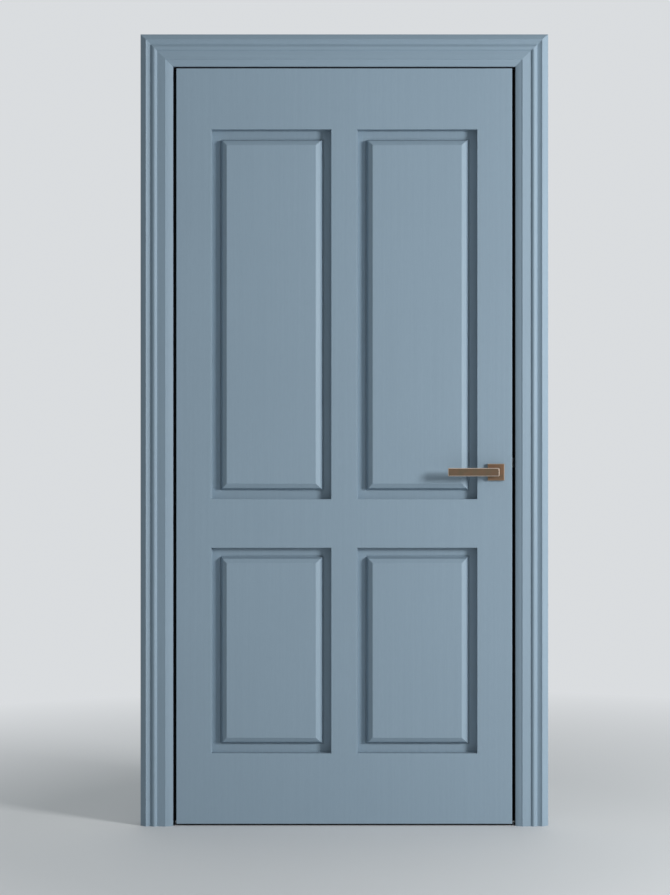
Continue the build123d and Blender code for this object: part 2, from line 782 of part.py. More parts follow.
def latch_spring():
    """Strip bent to a hairpin, one leg on the back of the case and the other on the bolt's lug."""
    start = case_back + CASE_WALL + RUNNING_GAP
    end = lug_face - LATCH_LUG_THICKNESS - RUNNING_GAP
    outer = (end - start) / 2
    inner = outer - SPRING_THICKNESS
    foot = -SPRING_LEG_HEIGHT
    outline = [
        Line((-outer, foot), (-outer, 0)),
        ThreePointArc((-outer, 0), (0, outer), (outer, 0)),
        Line((outer, 0), (outer, foot)),
        Line((outer, foot), (inner, foot)),
        Line((inner, foot), (inner, 0)),
        ThreePointArc((inner, 0), (0, inner), (-inner, 0)),
        Line((-inner, 0), (-inner, foot)),
        Line((-inner, foot), (-outer, foot)),
    ]
    place = Plane(origin=((start + end) / 2, lock_y + SPRING_WIDTH / 2, tail_bottom + LATCH_TAIL_HEIGHT),
                  x_dir=(1, 0, 0), z_dir=(0, -1, 0))
    return extrude(place * make_face(Curve() + outline), amount=SPRING_WIDTH)


# Strike plate


def strike_blank(play=0.0):
    """Angle plate round the stop's corner. With play, the recess for it."""
    front = lock_y - LATCH_THICKNESS / 2 - STRIKE_FRONT_MARGIN - play
    half = STRIKE_HEIGHT / 2 + play
    inner = STRIKE_THICKNESS + play
    leg = block(opening_x, opening_x + inner, front, stop_face, latch_z - half, latch_z + half)
    turn = block(opening_x, opening_x + STRIKE_RETURN + play, stop_face - inner, stop_face,
                 latch_z - half, latch_z + half)
    return leg + turn


def strike_plate():
    plate = strike_blank()
    corner = edges_at(plate, Axis.Z, X=opening_x, Y=stop_face)
    plate = fillet(corner, STRIKE_CORNER_RADIUS)
    plate -= latch_window(opening_x - CUT_PAST, opening_x + STRIKE_THICKNESS + CUT_PAST)
    return plate - plate_screw_holes(opening_x, opening_x + STRIKE_THICKNESS, latch_z, STRIKE_HEIGHT)


# Levers and roses


def square_block(half, y0, y1):
    """Square bar or plate on the handle's axis."""
    return block(handle_x - half, handle_x + half, y0, y1, handle_z - half, handle_z + half)


def lever():
    """Near lever: flat bar, neck and the journal that turns in the rose."""
    bar_near = near_face - LEVER_STANDOFF
    bar_far = bar_near + LEVER_THICKNESS
    neck_end = near_face - ROSE_THICKNESS - NECK_GAP
    heel = handle_x + LEVER_HEEL
    bar = block(handle_x - LEVER_REACH, heel, bar_near, bar_far,
                handle_z - LEVER_HEIGHT / 2, handle_z + LEVER_HEIGHT / 2)
    bar = chamfer(bar.edges(), LEVER_CHAMFER)
    neck = block(heel - NECK_WIDTH, heel, bar_near + LEVER_THICKNESS / 2, neck_end,
                 handle_z - NECK_HEIGHT / 2, handle_z + NECK_HEIGHT / 2)
    neck = chamfer(neck.edges().filter_by(Axis.Y), NECK_CHAMFER)
    journal = rod(handle_x, 0, handle_z, "y", neck_end - CUT_PAST, near_face - JOINT_GAP, JOURNAL_RADIUS)
    socket_end = near_face - SPINDLE_INSERTION - SPINDLE_END_GAP
    socket = square_block(SPINDLE_SIZE / 2 + SPINDLE_PLAY, socket_end, near_face)
    grub_y = near_face - ROSE_THICKNESS - (SPINDLE_INSERTION - ROSE_THICKNESS) / 2
    grub_hole = rod(handle_x, grub_y, 0, "z", handle_z - NECK_HEIGHT, handle_z, GRUB_HOLE_RADIUS)
    return bar + neck + journal - socket - grub_hole


def spindle():
    end = LEAF_THICKNESS / 2 + SPINDLE_INSERTION
    return square_block(SPINDLE_SIZE / 2, -end, end)


def rose_cover():
    """Near rose: square cap with chamfered rim over its base plate."""
    half = ROSE_SIZE / 2
    top = near_face - ROSE_THICKNESS
    cap = square_block(half, top, near_face)
    rim = cap.faces().sort_by(Axis.Y)[0].edges()
    cap = chamfer(rim, ROSE_CHAMFER)
    cap -= square_block(half - ROSE_WALL, top + ROSE_WALL, near_face + CUT_PAST)
    return cap - rod(handle_x, 0, handle_z, "y", top - CUT_PAST, near_face, JOURNAL_RADIUS + RUNNING_GAP)


def rose_base():
    """Near base plate with the collar that the lever's journal turns in."""
    half = ROSE_SIZE / 2 - ROSE_WALL - JOINT_GAP
    collar_top = near_face - ROSE_THICKNESS + ROSE_WALL + JOINT_GAP
    base = square_block(half, near_face - ROSE_BASE_THICKNESS, near_face)
    base += rod(handle_x, 0, handle_z, "y", collar_top, near_face, JOURNAL_RADIUS + COLLAR_WALL)
    return base - rod(handle_x, 0, handle_z, "y", collar_top - CUT_PAST, near_face + CUT_PAST,
                      JOURNAL_RADIUS + JOURNAL_PLAY)


def save(name, shape):
    shape.label = name
    export_step(shape, f"parts/{name}.step")


def main():
    os.makedirs("parts", exist_ok=True)

    save("jamb_hinge_side", hinge_jamb())
    save("jamb_lock_side", lock_jamb())
    save("frame_head", frame_head())
    save("casing_left", side_casing())
    save("casing_right", across(side_casing()))
    save("casing_head", head_casing())
    save("front_seal_left", side_front_seal())
    save("front_seal_right", across(side_front_seal()))
    save("front_seal_head", head_front_seal())
    save("strike_plate", strike_plate())

    save("stile_hinge_side", hinge_stile())
    save("stile_lock_side", lock_stile())
    for name in rail_spans():
        save(name, rail(name))
    for name in mullion_spans():
        save(name, mullion(name))
    for name, opening in panel_openings().items():
        save(name, panel(*opening))
    save("lip_seal_left", side_lip_seal())
    save("lip_seal_right", across(side_lip_seal()))
    save("lip_seal_top", top_lip_seal())
    save("bottom_seal", bottom_seal())

    for number, z in enumerate(hinge_heights, start=1):
        save(f"hinge_frame_half_{number}", frame_hinge(z))
        save(f"hinge_leaf_half_{number}", leaf_hinge(z))
        save(f"hinge_pin_{number}", hinge_pin(z))

    save("lock_case", lock_case())
    save("lock_cover", lock_cover())
    save("faceplate", faceplate())
    save("follower", follower())
    save("latch_bolt", latch_bolt())
    save("latch_spring", latch_spring())

    save("lever_near", lever())
    save("lever_far", behind(lever()))
    save("spindle", spindle())
    save("rose_near", rose_cover())
    save("rose_far", behind(rose_cover()))
    save("rose_base_near", rose_base())
    save("rose_base_far", behind(rose_base()))


main()
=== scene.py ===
"""Finishes, soft mouldings, screws, light and camera for the panelled front door.

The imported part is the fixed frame. Lengths are in metres. X runs to the right, Y away from
the viewer and Z up, from floor level at the middle of the opening.
"""

import json
import logging
import math
from dataclasses import dataclass
from enum import Enum

import bmesh
import bpy
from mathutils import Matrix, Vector

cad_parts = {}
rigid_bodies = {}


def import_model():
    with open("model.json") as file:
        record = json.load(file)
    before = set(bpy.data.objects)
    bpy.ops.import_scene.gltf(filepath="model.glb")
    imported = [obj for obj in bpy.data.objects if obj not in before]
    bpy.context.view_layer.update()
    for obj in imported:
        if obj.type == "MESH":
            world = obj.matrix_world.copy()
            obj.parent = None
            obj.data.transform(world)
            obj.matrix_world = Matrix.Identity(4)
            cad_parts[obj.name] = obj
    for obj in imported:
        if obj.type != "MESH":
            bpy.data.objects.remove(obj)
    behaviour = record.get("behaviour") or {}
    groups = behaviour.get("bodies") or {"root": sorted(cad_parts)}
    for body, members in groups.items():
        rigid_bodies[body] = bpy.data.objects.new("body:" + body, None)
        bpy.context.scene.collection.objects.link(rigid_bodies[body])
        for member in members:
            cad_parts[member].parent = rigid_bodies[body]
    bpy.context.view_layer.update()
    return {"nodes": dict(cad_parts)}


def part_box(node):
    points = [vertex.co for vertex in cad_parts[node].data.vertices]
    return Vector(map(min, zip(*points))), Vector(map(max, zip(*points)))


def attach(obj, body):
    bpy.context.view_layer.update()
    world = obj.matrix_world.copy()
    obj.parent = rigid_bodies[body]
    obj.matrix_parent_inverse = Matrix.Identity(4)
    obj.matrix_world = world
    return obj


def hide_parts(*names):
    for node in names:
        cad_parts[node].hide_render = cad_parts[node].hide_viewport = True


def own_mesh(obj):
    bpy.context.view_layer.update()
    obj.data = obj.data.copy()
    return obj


Point = tuple[float, float]
Place = tuple[float, float, float]
Colour = tuple[float, float, float]
Opening = tuple[float, float, float, float]
Noise = tuple[float, float]
Profile = tuple[tuple[float | None, float], ...]
Mesh = bmesh.types.BMesh
Material = bpy.types.Material
Socket = bpy.types.NodeSocket

HINGES = (1, 2, 3)
SIDES = (-1, 1)                     # left and right, or near and far
ROUND = 48                          # points in a full circle
NEARLY_STRAIGHT = math.radians(12)  # a corner that turns less isn't rounded
MOST_OF_SIDE = 0.4                  # share of a side that one rounding may take
SAME_PLACE = 1e-6                   # points nearer to each other become one
SHARP = math.radians(35)            # an edge that turns more stays sharp

log = logging.getLogger("front_door")

for thing in list(bpy.data.objects):
    bpy.data.objects.remove(thing)
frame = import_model()


class Run(Enum):
    """Direction in which timber was planed or metal was brushed."""

    ACROSS = 0
    DEEP = 1
    UPRIGHT = 2


class Head(Enum):
    """Kind of screw head, with its depth below the surface that it sits in."""

    RAISED = 0.0
    FLUSH = 0.0002
    GRUB = 0.0012


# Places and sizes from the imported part


def reach(node: str, run: Run) -> Point:
    """Give the lowest and highest place of a solid in one direction."""
    low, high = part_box(node)
    return low[run.value], high[run.value]


def middle(node: str, run: Run) -> float:
    """Give the middle of a solid in one direction."""
    return sum(reach(node, run)) / 2


# Outlines and meshes


def ease(start: Point, corner: Point, end: Point, steps: int = 3) -> list[Point]:
    """Points of the rounding that takes the place of a corner.

    Args:
        start: where the rounding begins, on one side.
        corner: the sharp corner.
        end: where it ends, on the other side.
        steps: straight runs in it.

    Returns:
        Its points, both ends included.
    """
    a, b, c = Vector(start), Vector(corner), Vector(end)
    points = []
    for step in range(steps + 1):
        t = step / steps
        point = (1 - t) ** 2 * a + 2 * t * (1 - t) * b + t ** 2 * c
        points.append((point.x, point.y))
    return points


def soften(corners: list[Point], radius: float, steps: int = 3,
           closed: bool = False) -> list[Point]:
    """Round the sharp corners of an outline.

    Args:
        corners: the outline's points in order.
        radius: radius that a corner gets, less where its sides are short.
        steps: straight runs that make up one rounded corner.
        closed: whether the last point joins the first.

    Returns:
        The outline with short arcs in place of its sharp corners.
    """
    made: list[Point] = []
    count = len(corners)
    ends = () if closed else (0, count - 1)
    for index, corner in enumerate(corners):
        here = Vector(corner)
        back = Vector(corners[index - 1]) - here
        ahead = Vector(corners[(index + 1) % count]) - here
        turn = 0.0 if index in ends else math.pi - back.angle(ahead)
        if turn < NEARLY_STRAIGHT:
            made.append(corner)
            continue
        cut = min(radius * math.tan(turn / 2), MOST_OF_SIDE * back.length,
                  MOST_OF_SIDE * ahead.length)
        start = here + back.normalized() * cut
        end = here + ahead.normalized() * cut
        made += ease(tuple(start), corner, tuple(end), steps)
    return made


def bow(start: Point, end: Point, rise: float, steps: int) -> list[Point]:
    """Points of a shallow arc between two points.

    Args:
        start: first point, left out of the result.
        end: last point.
        rise: height of the arc's middle above its chord, negative for a hollow.
        steps: straight runs in the arc.

    Returns:
        The arc's points after its start.
    """
    a = Vector(start)
    b = Vector(end)
    chord = b - a
    side = Vector((-chord.y, chord.x)).normalized()
    radius = (chord.length ** 2 / 4 + rise ** 2) / (2 * rise)
    centre = (a + b) / 2 + side * (rise - radius)
    half = math.asin(chord.length / 2 / abs(radius))
    made = []
    for step in range(1, steps + 1):
        angle = half * (2 * step / steps - 1)
        point = (centre + chord.normalized() * abs(radius) * math.sin(angle)
                 + side * radius * math.cos(angle))
        made.append((point.x, point.y))
    return made


def oblong(low: Point, high: Point) -> list[Point]:
    """Corners of an oblong between two opposite corners, in order."""
    return [low, (high[0], low[1]), high, (low[0], high[1])]


def circle(centre: Point, radius: float) -> list[Point]:
    """Points of a circle, in order."""
    turns = [2 * math.pi * step / ROUND for step in range(ROUND)]
    return [(centre[0] + radius * math.cos(turn), centre[1] + radius * math.sin(turn))
            for turn in turns]


def half_circle(centre: Point, radius: float) -> list[Point]:
    """Points of a circle's upper half, from left to right, both ends included."""
    return circle(centre, radius)[ROUND // 2::-1]


def join_loops(mesh: Mesh, loops: list[list[bmesh.types.BMVert]], closed: bool) -> None:
    """Lay faces between each row of corners and the next.

    Args:
        mesh: the mesh to add to.
        loops: rows with the same number of corners.
        closed: whether each row's last corner joins its first.
    """
    for low, high in zip(loops, loops[1:]):
        for index in range(len(low) if closed else len(low) - 1):
            after = (index + 1) % len(low)
            mesh.faces.new((low[index], low[after], high[after], high[index]))


def skin(rings: list[list[Vector]]) -> Mesh:
    """Closed surface stretched over rings that have the same number of points.

    Args:
        rings: closed rings in order, of which the first and last are filled.

    Returns:
        The mesh with its faces turned outward.
    """
    mesh = bmesh.new()
    rows = [[mesh.verts.new(point) for point in ring] for ring in rings]
    join_loops(mesh, rows, closed=True)
    mesh.faces.new(rows[0][::-1])
    mesh.faces.new(rows[-1])
    bmesh.ops.recalc_face_normals(mesh, faces=mesh.faces[:])
    return mesh


def bar(outline: list[Point], run: Run, start: float, end: float) -> Mesh:
    """Straight bar of any section.

    Args:
        outline: its section, as the two other coordinates in their order.
        run: direction in which it runs.
        start: place of its first end.
        end: place of its other end.

    Returns:
        Its mesh.
    """
    rings = []
    for place in (start, end):
        ring = [list(point) for point in outline]
        for point in ring:
            point.insert(run.value, place)
        rings.append([Vector(point) for point in ring])
    return skin(rings)


def carve(mesh: Mesh, tools: list[Mesh]) -> Mesh:
    """Cut closed shapes out of a closed mesh, one after the other.

    Args:
        mesh: the mesh to cut, which is used up.
        tools: the shapes to cut away, which are used up.

    Returns:
        The mesh that is left.
    """

    def loose(shape: Mesh, name: str) -> bpy.types.Object:
        """Wrap a shape in an object of its own for the time being.

        Args:
            shape: the shape, which is used up.
            name: the object's name.

        Returns:
            The object.
        """
        data = bpy.data.meshes.new(name)
        shape.to_mesh(data)
        shape.free()
        holder = bpy.data.objects.new(name, data)
        bpy.context.scene.collection.objects.link(holder)
        return holder

    blank = loose(mesh, "blank")
    for tool in tools:
        cutter = loose(tool, "cutter")
        cut = blank.modifiers.new("cut", "BOOLEAN")
        cut.operation = "DIFFERENCE"
        cut.solver = "EXACT"
        cut.object = cutter
        graph = bpy.context.evaluated_depsgraph_get()
        data = bpy.data.meshes.new_from_object(blank.evaluated_get(graph))
        blank.modifiers.clear()
        blank.data = data
        bpy.data.objects.remove(cutter)
    left = bmesh.new()
    left.from_mesh(blank.data)
    bpy.data.objects.remove(blank)
    return left


def stand(mesh: Mesh, name: str, body: str, material: Material,
          replaced: tuple[str, ...] = ()) -> bpy.types.Object:
    """Put a finished mesh into the scene as a piece of the door.

    Args:
        mesh: the piece's shape, which is used up.
        name: the piece's name.
        body: moving body that it rides on.
        material: its finish.
        replaced: plain solids that it stands for.

    Returns:
        The new object.
    """
    data = bpy.data.meshes.new(name)
    mesh.to_mesh(data)
    mesh.free()
    data.shade_smooth()
    data.set_sharp_from_angle(angle=SHARP)
    data.materials.append(material)
    piece = bpy.data.objects.new(name, data)
    flats = piece.modifiers.new("flats", "WEIGHTED_NORMAL")
    flats.keep_sharp = True
    bpy.context.scene.collection.objects.link(piece)
    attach(piece, body)
    if replaced:
        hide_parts(*replaced)
    log.info("%s on the %s", name, body)
    return piece


def dress(names: list[str], material: Material) -> None:
    """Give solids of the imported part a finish.

    Args:
        names: nodes of the part.
        material: their finish.
    """
    for name in names:
        data = frame["nodes"][name].data
        data.materials.clear()
        data.materials.append(material)
    log.info("dressed %s", ", ".join(names))


# Finishes


@dataclass(frozen=True)
class Streak:
    """Noise drawn out in one direction: a streak's size, finer layers and sideways waver."""

    along: float
    width: float
    detail: float
    waver: float = 0.0


@dataclass(frozen=True)
class Ramp:
    """Change of a value: from low to high, the result runs from start to end."""

    low: float
    high: float
    start: float = 0.0
    end: float = 1.0


@dataclass(frozen=True)
class Tint:
    """Tone laid over a colour, by the share that its ramp gives."""

    ramp: Ramp
    tone: float = 1.0


def shade(colour: Colour, factor: float = 1.0) -> tuple[float, float, float, float]:
    """A colour made lighter or darker, with full opacity."""
    return (*(min(1.0, channel * factor) for channel in colour), 1.0)


class Recipe:
    """Node tree of one finish, with short calls that add nodes and join them."""

    most_noise: Ramp = Ramp(0.3, 0.7)
    sharp_edge: Ramp = Ramp(0.98, 0.75)
    slanted_face: Ramp = Ramp(0.95, 0.80)
    rub: Noise = (0.035, 4.0)
    rub_ramp: Ramp = Ramp(0.35, 0.65, 0.25, 1.0)
    sway_widths: int = 4
    sway_detail: float = 1.0
    bevel_samples: int = 4

    def __init__(self, name: str, world: bpy.types.World | None = None) -> None:
        """Start a material with a shader joined to its output, or a bare world.

        Args:
            name: the finish's name.
            world: the world to make instead of a material.
        """
        self.material = world or bpy.data.materials.new(name)
        self.material.use_nodes = True
        self.tree = self.material.node_tree
        self.tree.nodes.clear()
        if world is None:
            self.shader = self.add("BsdfPrincipled")
            self.output = self.add("OutputMaterial", {"Surface": self.shader.outputs["BSDF"]})
            self.place = self.add("TexCoord").outputs["Object"]

    def feed(self, node: bpy.types.Node, inputs: dict) -> None:
        """Set a node's sockets to values, or join other nodes' outputs to them.

        Args:
            node: the node.
            inputs: number, colour, vector or output by the socket's name or place.
        """
        for name, value in inputs.items():
            if isinstance(value, Socket):
                self.tree.links.new(value, node.inputs[name])
            else:
                node.inputs[name].default_value = value

    def add(self, kind: str, inputs: dict | None = None, **settings: str | int) -> bpy.types.Node:
        """Add a node.

        Args:
            kind: the shader node's type.
            inputs: what to feed its sockets with.
            **settings: its own settings.

        Returns:
            The node.
        """
        node = self.tree.nodes.new(f"ShaderNode{kind}")
        for name, value in settings.items():
            setattr(node, name, value)
        self.feed(node, inputs or {})
        return node

    def finish(self, inputs: dict) -> Material:
        """Feed the shader's sockets and give the finished material."""
        self.feed(self.shader, inputs)
        return self.material

    def both(self, operation: str, first: Socket, second: Socket) -> Socket:
        """Work out one number from two."""
        return self.add("Math", {0: first, 1: second}, operation=operation).outputs[0]

    def span(self, value: Socket, ramp: Ramp) -> Socket:
        """Map a value by a ramp, held at the ramp's ends."""
        inputs = {"Value": value, "From Min": ramp.low, "From Max": ramp.high,
                  "To Min": ramp.start, "To Max": ramp.end}
        return self.add("MapRange", inputs).outputs["Result"]

    def streaks(self, run: Run, streak: Streak) -> Socket:
        """Noise drawn out in one direction.

        Args:
            run: direction of the streaks.
            streak: their size.

        Returns:
            Output from 0 to 1.
        """
        scale = [1 / streak.width] * 3
        scale[run.value] = 1 / streak.along
        place = self.place
        if streak.waver:
            sway = self.cloud((self.sway_widths * streak.width, self.sway_detail), "Color")
            place = self.add("VectorMath", {0: sway, 1: (streak.waver,) * 3, 2: self.place},
                             operation="MULTIPLY_ADD").outputs[0]
        place = self.add("Mapping", {"Vector": place, "Scale": scale}).outputs[0]
        noise = {"Vector": place, "Scale": 1.0, "Detail": streak.detail}
        return self.add("TexNoise", noise).outputs["Fac"]

    def cloud(self, noise: Noise, output: str = "Fac") -> Socket:
        """Even noise, given by the size of its patches and how many finer layers it has."""
        inputs = {"Vector": self.place, "Scale": 1 / noise[0], "Detail": noise[1]}
        return self.add("TexNoise", inputs).outputs[output]

    def blend(self, amount: Socket, first: object, second: object) -> Socket:
        """Mix two colours or outputs, by the share of the second."""
        inputs = {"Factor": amount, 6: first, 7: second}
        return self.add("Mix", inputs, data_type="RGBA").outputs[2]

    def mottle(self, noise: Socket, colour: Colour, tones: Point) -> Socket:
        """Two tones of a colour, spread by noise."""
        return self.blend(self.span(noise, self.most_noise), shade(colour, tones[0]),
                          shade(colour, tones[1]))

    def tint(self, base: object, mask: Socket, tint: Tint, colour: Colour) -> Socket:
        """Lay a tone of a colour over a base, where a mask lets it."""
        return self.blend(self.span(mask, tint.ramp), base, shade(colour, tint.tone))

    def rounding(self, radius: float) -> Socket:
        """Normal that softens arrises to a radius."""
        return self.add("Bevel", {"Radius": radius}, samples=self.bevel_samples).outputs[0]

    def worn_edge(self, width: float) -> Socket:
        """Mask that is 1 along the piece's outer arrises, broken up where hands don't rub.

        Args:
            width: how far the wear runs in from an arris.

        Returns:
            Output from 0 to 1.
        """
        inputs = {0: self.rounding(width), 1: self.add("NewGeometry").outputs["Normal"]}
        dot = self.add("VectorMath", inputs, operation="DOT_PRODUCT").outputs["Value"]
        return self.both("MULTIPLY", self.span(dot, self.sharp_edge),
                         self.span(self.cloud(self.rub), self.rub_ramp))

    def slanted(self) -> Socket:
        """Mask that is 1 on faces that lie across the piece's main directions, such as chamfers.

        Returns:
            Output from 0 to 1.
        """
        facing = self.add("TexCoord").outputs["Normal"]
        size = self.add("VectorMath", {0: facing}, operation="ABSOLUTE").outputs[0]
        x, y, z = self.add("SeparateXYZ", {0: size}).outputs
        most = self.both("MAXIMUM", self.both("MAXIMUM", x, y), z)
        return self.span(most, self.slanted_face)

    def relief(self, height: Socket, depth: float, under: Socket | None = None) -> Socket:
        """Bump from a height from 0 to 1.

        Args:
            height: the height.
            depth: how deep a height of 1 is.
            under: normal of the relief below it.

        Returns:
            The bumped normal.
        """
        inputs = {"Height": height, "Distance": depth, "Strength": 1.0}
        if under is not None:
            inputs["Normal"] = under
        return self.add("Bump", inputs).outputs[0]

    def looked_at(self) -> Socket:
        """Mask that is 1 where the camera, a gloss or glass looks, and 0 for light.

        Returns:
            Output from 0 to 1.
        """
        path = self.add("LightPath").outputs
        mirrored = self.both("MAXIMUM", path["Is Glossy Ray"], path["Is Transmission Ray"])
        return self.both("MAXIMUM", path["Is Camera Ray"], mirrored)


@dataclass(frozen=True)
class PaintedWood:
    """Satin paint over planed timber whose grain still shows faintly."""

    run: Run
    colour: Colour = (0.216, 0.293, 0.360)
    ior: float = 1.45
    patches: Noise = (0.45, 3.0)
    patch_tones: Point = (0.975, 1.02)
    figure: Streak = Streak(0.520, 0.0060, 3.0, 0.005)
    figure_tint: Tint = Tint(Ramp(0.35, 0.65, 0.5, 0.0), 0.95)
    figure_gloss: Ramp = Ramp(0.3, 0.7, 0.65, 0.57)
    figure_depth: float = 0.00006
    pores: Streak = Streak(0.026, 0.00055, 4.0, 0.0010)
    pore_edge: Ramp = Ramp(0.34, 0.62)
    pore_tint: Tint = Tint(Ramp(0.0, 0.55, 0.4, 0.0), 0.86)
    pore_depth: float = 0.00003
    coat: Noise = (0.0020, 2.0)
    coat_depth: float = 0.000012
    wear: float = 0.0014
    worn_tint: Tint = Tint(Ramp(0.0, 1.0, 0.0, 0.4), 1.22)
    worn_gloss: Ramp = Ramp(0.0, 1.0, 0.0, 0.08)

    def material(self) -> Material:
        """Build the finish.

        Returns:
            Its material.
        """
        recipe = Recipe(f"painted_wood_{self.run.name.lower()}")
        figure = recipe.streaks(self.run, self.figure)
        pores = recipe.span(recipe.streaks(self.run, self.pores), self.pore_edge)
        worn = recipe.worn_edge(self.wear)
        base = recipe.mottle(recipe.cloud(self.patches), self.colour, self.patch_tones)
        base = recipe.tint(base, figure, self.figure_tint, self.colour)
        base = recipe.tint(base, pores, self.pore_tint, self.colour)
        base = recipe.tint(base, worn, self.worn_tint, self.colour)
        gloss = recipe.both("SUBTRACT", recipe.span(figure, self.figure_gloss),
                            recipe.span(worn, self.worn_gloss))
        normal = recipe.relief(figure, self.figure_depth)
        normal = recipe.relief(pores, self.pore_depth, normal)
        normal = recipe.relief(recipe.cloud(self.coat), self.coat_depth, normal)
        return recipe.finish({"Base Color": base, "Roughness": gloss, "IOR": self.ior,
                              "Normal": normal})


@dataclass(frozen=True)
class BrushedMetal:
    """Metal brushed in one direction and sealed, tarnished in patches, with a painted highlight on
    its chamfers and arrises that is partly real wear on the arrises.
    """

    name: str
    run: Run
    colour: Colour
    tarnish: Colour
    # light colour for chamfers and arrises: painted highlight, partly real wear on the arrises
    rubbed_and_highlight: Colour
    roughness: float
    metallic: float = 1.0
    handled: Noise = (0.028, 3.0)
    handled_tint: Tint = Tint(Ramp(0.38, 0.62, 0.0, 0.85))
    handled_gloss: Ramp = Ramp(0.4, 0.7, 0.0, 0.06)
    scratches: Streak = Streak(0.022, 0.00022, 3.0)
    scratch_tones: Point = (0.84, 1.08)
    scratch_range: Point = (0.25, 0.75)
    scratch_gloss: Point = (-0.07, 0.09)
    scratch_depth: float = 0.000012
    bands: Streak = Streak(0.090, 0.0014, 2.0)
    band_tint: Tint = Tint(Ramp(0.35, 0.65, 0.0, 0.4), 0.88)
    patina: Noise = (0.011, 4.0)
    patina_tint: Tint = Tint(Ramp(0.35, 0.7, 0.0, 0.25), 1.25)
    wear: float = 0.0008
    # shares of the painted highlight: arrises, where it is partly real wear, and whole chamfer
    # faces
    edge_wear_and_highlight: Ramp = Ramp(0.0, 1.0, 0.0, 0.8)
    painted_chamfer_highlight: Ramp = Ramp(0.3, 0.7, 1.0, 0.8)
    wear_and_highlight_gloss: Ramp = Ramp(0.0, 1.0, 0.0, 0.08)
    arris: float = 0.0003

    def material(self) -> Material:
        """Build the finish.

        Returns:
            Its material.
        """
        recipe = Recipe(f"{self.name}_{self.run.name.lower()}")
        scratches = recipe.streaks(self.run, self.scratches)
        handled = recipe.cloud(self.handled)
        # painted highlight on every chamfer face, broken up only by the handled patches
        chamfers = recipe.both("MULTIPLY", recipe.slanted(),
                               recipe.span(handled, self.painted_chamfer_highlight))
        edges = recipe.span(recipe.worn_edge(self.wear), self.edge_wear_and_highlight)
        bright = recipe.both("MAXIMUM", edges, chamfers)
        base = recipe.mottle(scratches, self.colour, self.scratch_tones)
        base = recipe.tint(base, recipe.streaks(self.run, self.bands), self.band_tint, self.colour)
        base = recipe.tint(base, handled, self.handled_tint, self.tarnish)
        base = recipe.tint(base, recipe.cloud(self.patina), self.patina_tint, self.colour)
        # lay the painted highlight, partly real wear, over the base colour
        base = recipe.blend(bright, base, shade(self.rubbed_and_highlight))
        smooth, coarse = (self.roughness + change for change in self.scratch_gloss)
        rough = recipe.span(scratches, Ramp(*self.scratch_range, smooth, coarse))
        rough = recipe.both("ADD", rough, recipe.span(handled, self.handled_gloss))
        rough = recipe.both("SUBTRACT", rough, recipe.span(bright, self.wear_and_highlight_gloss))
        normal = recipe.relief(scratches, self.scratch_depth, recipe.rounding(self.arris))
        return recipe.finish({"Base Color": base, "Metallic": self.metallic, "Roughness": rough,
                              "Normal": normal})


@dataclass(frozen=True)
class SealRubber:
    """Matt black rubber with fine ribs and a little dust."""

    run: Run
    # near black, darker than common rubber: real rubber, and partly painted shade for the gap round
    # the leaf
    colour: Colour = (0.006, 0.006, 0.007)
    specular: float = 0.12
    ribs: Streak = Streak(0.6, 0.0009, 1.0)
    rib_depth: float = 0.0001
    grain: Noise = (0.0012, 3.0)
    grain_gloss: Ramp = Ramp(0.3, 0.7, 0.70, 0.88)
    grain_depth: float = 0.00003
    dust: Noise = (0.05, 4.0)
    dust_tint: Tint = Tint(Ramp(0.5, 0.75, 0.0, 0.3), 2.5)

    def material(self) -> Material:
        """Build the finish.

        Returns:
            Its material.
        """
        recipe = Recipe(f"seal_rubber_{self.run.name.lower()}")
        grain = recipe.cloud(self.grain)
        base = recipe.tint(shade(self.colour), recipe.cloud(self.dust), self.dust_tint, self.colour)
        normal = recipe.relief(recipe.streaks(self.run, self.ribs), self.rib_depth)
        normal = recipe.relief(grain, self.grain_depth, normal)
        return recipe.finish({"Base Color": base, "Roughness": recipe.span(grain, self.grain_gloss),
                              "Specular IOR Level": self.specular, "Normal": normal})


@dataclass(frozen=True)
class MouldedNylon:
    """White moulded nylon with the fine grain of its mould."""

    colour: Colour = (0.80, 0.80, 0.77)
    flow: Noise = (0.02, 2.0)
    flow_tones: Point = (0.94, 1.03)
    grain: Noise = (0.0007, 3.0)
    grain_gloss: Ramp = Ramp(0.3, 0.7, 0.42, 0.56)
    grain_depth: float = 0.00002

    def material(self) -> Material:
        """Build the finish.

        Returns:
            Its material.
        """
        recipe = Recipe("moulded_nylon")
        grain = recipe.cloud(self.grain)
        base = recipe.mottle(recipe.cloud(self.flow), self.colour, self.flow_tones)
        return recipe.finish({"Base Color": base, "Roughness": recipe.span(grain, self.grain_gloss),
                              "Normal": recipe.relief(grain, self.grain_depth)})


# Sub-assemblies


